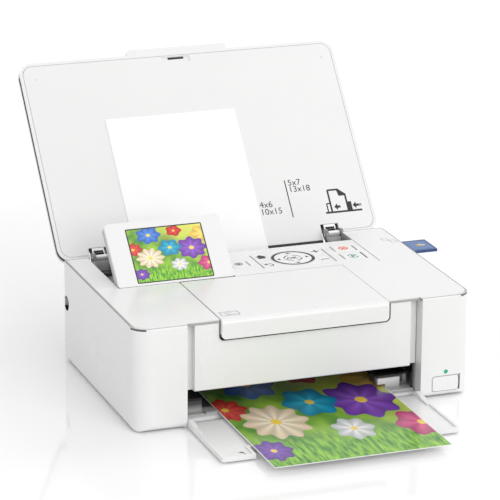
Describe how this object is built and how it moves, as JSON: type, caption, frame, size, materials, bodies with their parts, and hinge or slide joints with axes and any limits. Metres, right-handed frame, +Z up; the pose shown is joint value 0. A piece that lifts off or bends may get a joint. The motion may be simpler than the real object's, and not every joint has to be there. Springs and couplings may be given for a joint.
{
  "type": "compact photo printer",
  "caption": "Compact photo printer with a lid that opens into the paper support, a folding screen, a key panel, a fold-down front tray and its print mechanism.",
  "frame": {"origin": "middle of the body's footprint, on the underside of the bottom case", "axes": "+X to the right as the user faces it, +Y to the back, +Z up"},
  "size_m": [0.2715, 0.3794, 0.1966],
  "materials": {
    "white_plastic": "glossy moulded white",
    "pale_plastic": "satin moulded off-white",
    "grey_plastic": "matt grey",
    "dark_plastic": "matt black",
    "steel": "plain sheet and ground rod",
    "black_rubber": "matt",
    "grey_rubber": "ground matt",
    "brass": "cut",
    "board": "green solder mask",
    "light_lens": "clear green",
    "display": "smooth",
    "card": "blue moulding",
    "paper": "smooth white paper",
    "photo_print": "glossy printed paper"
  },
  "bodies": {
    "base": {"bottom_case": "white_plastic", "rubber_feet": "black_rubber", "case_screws": "steel", "body_shell": "white_plastic", "front_panel": "white_plastic", "top_cover": "white_plastic", "control_panel": "white_plastic", "key_board": "board", "power_light": "light_lens", "power_board": "board", "lid_pins": "steel", "output_bed": "pale_plastic", "chassis_frame": "steel", "carriage_rail": "steel", "timing_belt": "black_rubber", "carriage_motor": "steel", "roller_holder": "dark_plastic", "feed_motor": "steel", "platen": "dark_plastic", "paper_chute": "grey_plastic", "main_board": "board", "dc_socket": "dark_plastic", "card_reader": "steel", "printed_photo": "photo_print"},
    "lid": {"lid_shell": "white_plastic", "lid_panel": "pale_plastic", "lid_arms": "pale_plastic", "lid_catch": "dark_plastic", "blank_sheet": "paper"},
    "screen": {"screen_frame": "white_plastic", "screen_back": "pale_plastic", "screen_display": "display"},
    "centre_cover": {"centre_cover": "white_plastic"},
    "tray": {"output_tray": "white_plastic"},
    "view_key": {"view_key": "white_plastic"},
    "home_key": {"home_key": "white_plastic"},
    "back_key": {"back_key": "white_plastic"},
    "direction_key": {"direction_key": "white_plastic"},
    "ok_key": {"ok_key": "white_plastic"},
    "plus_key": {"plus_key": "white_plastic"},
    "minus_key": {"minus_key": "white_plastic"},
    "stop_key": {"stop_key": "white_plastic"},
    "start_key": {"start_key": "white_plastic"},
    "power_button": {"power_button": "white_plastic"},
    "memory_card": {"memory_card": "card"},
    "edge_guide": {"edge_guide": "pale_plastic"},
    "hopper_plate": {"hopper_plate": "pale_plastic"},
    "carriage": {"carriage": "dark_plastic", "print_head": "grey_plastic", "ink_cartridge": "dark_plastic"},
    "drive_pulley": {"drive_pulley": "grey_plastic"},
    "idler_pulley": {"idler_pulley": "grey_plastic"},
    "feed_roller": {"feed_roller": "grey_rubber"},
    "exit_roller": {"exit_roller": "grey_rubber"},
    "star_wheels": {"star_wheels": "steel"},
    "pinch_rollers": {"pinch_rollers": "grey_plastic"},
    "pickup_roller": {"pickup_roller": "grey_rubber"},
    "drive_gear": {"drive_gear": "pale_plastic"},
    "exit_idler_gear": {"exit_idler_gear": "pale_plastic"},
    "motor_pinion": {"motor_pinion": "brass"}
  },
  "joints": [
    {"name": "lid_hinge", "type": "hinge", "parent": "base", "child": "lid", "pos_m": [0, 0.0842, 0.0726], "axis": [1, 0, 0], "range_deg": [0, 130.6], "deforming": ["blank_sheet"]},
    {"name": "screen_hinge", "type": "hinge", "parent": "base", "child": "screen", "pos_m": [0, 0.00774, 0.0717], "axis": [-1, 0, 0], "range_deg": [0, 45.5]},
    {"name": "centre_cover_hinge", "type": "hinge", "parent": "base", "child": "centre_cover", "pos_m": [0, 0.0043, 0.0734], "axis": [1, 0, 0], "range_deg": [-70, 0]},
    {"name": "tray_hinge", "type": "hinge", "parent": "base", "child": "tray", "pos_m": [0, -0.0801, 0.0036], "axis": [-1, 0, 0], "range_deg": [0, 90], "deforming": ["printed_photo"]},
    {"name": "view_key_press", "type": "slide", "parent": "base", "child": "view_key", "axis": [0, 0, -1], "range_m": [0, 0.0005], "stiffness_N_per_m": 400, "springref_m": -0.0005},
    {"name": "home_key_press", "type": "slide", "parent": "base", "child": "home_key", "axis": [0, 0, -1], "range_m": [0, 0.0005], "stiffness_N_per_m": 400, "springref_m": -0.0005},
    {"name": "back_key_press", "type": "slide", "parent": "base", "child": "back_key", "axis": [0, 0, -1], "range_m": [0, 0.0005], "stiffness_N_per_m": 400, "springref_m": -0.0005},
    {"name": "direction_key_press", "type": "slide", "parent": "base", "child": "direction_key", "axis": [0, 0, -1], "range_m": [0, 0.0005], "stiffness_N_per_m": 400, "springref_m": -0.0005},
    {"name": "ok_key_press", "type": "slide", "parent": "base", "child": "ok_key", "axis": [0, 0, -1], "range_m": [0, 0.0005], "stiffness_N_per_m": 400, "springref_m": -0.0005},
    {"name": "plus_key_press", "type": "slide", "parent": "base", "child": "plus_key", "axis": [0, 0, -1], "range_m": [0, 0.0005], "stiffness_N_per_m": 400, "springref_m": -0.0005},
    {"name": "minus_key_press", "type": "slide", "parent": "base", "child": "minus_key", "axis": [0, 0, -1], "range_m": [0, 0.0005], "stiffness_N_per_m": 400, "springref_m": -0.0005},
    {"name": "stop_key_press", "type": "slide", "parent": "base", "child": "stop_key", "axis": [0, 0, -1], "range_m": [0, 0.0005], "stiffness_N_per_m": 400, "springref_m": -0.0005},
    {"name": "start_key_press", "type": "slide", "parent": "base", "child": "start_key", "axis": [0, 0, -1], "range_m": [0, 0.0005], "stiffness_N_per_m": 400, "springref_m": -0.0005},
    {"name": "power_button_press", "type": "slide", "parent": "base", "child": "power_button", "axis": [0, 1, 0], "range_m": [0, 0.0006], "stiffness_N_per_m": 400, "springref_m": -0.0006},
    {"name": "memory_card_slide", "type": "slide", "parent": "base", "child": "memory_card", "axis": [1, 0, 0], "range_m": [-0.0195, 0.012]},
    {"name": "edge_guide_slide", "type": "slide", "parent": "base", "child": "edge_guide", "axis": [1, 0, 0], "range_m": [0, 0.0254]},
    {"name": "hopper_plate_hinge", "type": "hinge", "parent": "base", "child": "hopper_plate", "pos_m": [0, 0.07724, 0.05618], "axis": [1, 0, 0], "range_deg": [0, 6], "stiffness_Nm_per_rad": 0.05, "springref_deg": -14.32},
    {"name": "carriage_slide", "type": "slide", "parent": "base", "child": "carriage", "axis": [1, 0, 0], "range_m": [-0.15, 0]},
    {"name": "drive_pulley_spin", "type": "hinge", "parent": "base", "child": "drive_pulley", "pos_m": [-0.084, -0.0322, 0.05], "axis": [0, 0, 1], "continuous": true},
    {"name": "idler_pulley_spin", "type": "hinge", "parent": "base", "child": "idler_pulley", "pos_m": [0.084, -0.0322, 0.05], "axis": [0, 0, 1], "continuous": true},
    {"name": "motor_pinion_spin", "type": "hinge", "parent": "base", "child": "motor_pinion", "pos_m": [0, 0.05252, 0.02798], "axis": [1, 0, 0], "continuous": true},
    {"name": "drive_gear_spin", "type": "hinge", "parent": "base", "child": "drive_gear", "pos_m": [0, 0.03373, 0.03482], "axis": [1, 0, 0], "continuous": true},
    {"name": "feed_roller_spin", "type": "hinge", "parent": "base", "child": "feed_roller", "pos_m": [0, 0.02953, 0.012], "axis": [1, 0, 0], "continuous": true},
    {"name": "pickup_roller_spin", "type": "hinge", "parent": "base", "child": "pickup_roller", "pos_m": [0, 0.05625, 0.05006], "axis": [1, 0, 0], "continuous": true},
    {"name": "exit_idler_gear_spin", "type": "hinge", "parent": "base", "child": "exit_idler_gear", "pos_m": [0, 0.01719, 0.01542], "axis": [1, 0, 0], "continuous": true},
    {"name": "exit_roller_spin", "type": "hinge", "parent": "base", "child": "exit_roller", "pos_m": [0, 0.00553, 0.0126], "axis": [1, 0, 0], "continuous": true},
    {"name": "pinch_rollers_spin", "type": "hinge", "parent": "base", "child": "pinch_rollers", "pos_m": [0, 0.02953, 0.0217], "axis": [1, 0, 0], "continuous": true},
    {"name": "star_wheels_spin", "type": "hinge", "parent": "base", "child": "star_wheels", "pos_m": [0, 0.00553, 0.0217], "axis": [1, 0, 0], "continuous": true}
  ],
  "couplings": [
    {"joint": "screen_hinge", "follows": "lid_hinge", "ratio": 0.34839},
    {"joint": "drive_pulley_spin", "follows": "carriage_slide", "rad_per_m": -166.67},
    {"joint": "idler_pulley_spin", "follows": "carriage_slide", "rad_per_m": -166.67},
    {"joint": "drive_gear_spin", "follows": "motor_pinion_spin", "ratio": -0.25},
    {"joint": "feed_roller_spin", "follows": "motor_pinion_spin", "ratio": 0.55556},
    {"joint": "pickup_roller_spin", "follows": "motor_pinion_spin", "ratio": 0.35714},
    {"joint": "exit_idler_gear_spin", "follows": "motor_pinion_spin", "ratio": -0.71429},
    {"joint": "exit_roller_spin", "follows": "motor_pinion_spin", "ratio": 0.625},
    {"joint": "pinch_rollers_spin", "follows": "motor_pinion_spin", "ratio": -0.92593},
    {"joint": "star_wheels_spin", "follows": "motor_pinion_spin", "ratio": -0.9375}
  ]
}
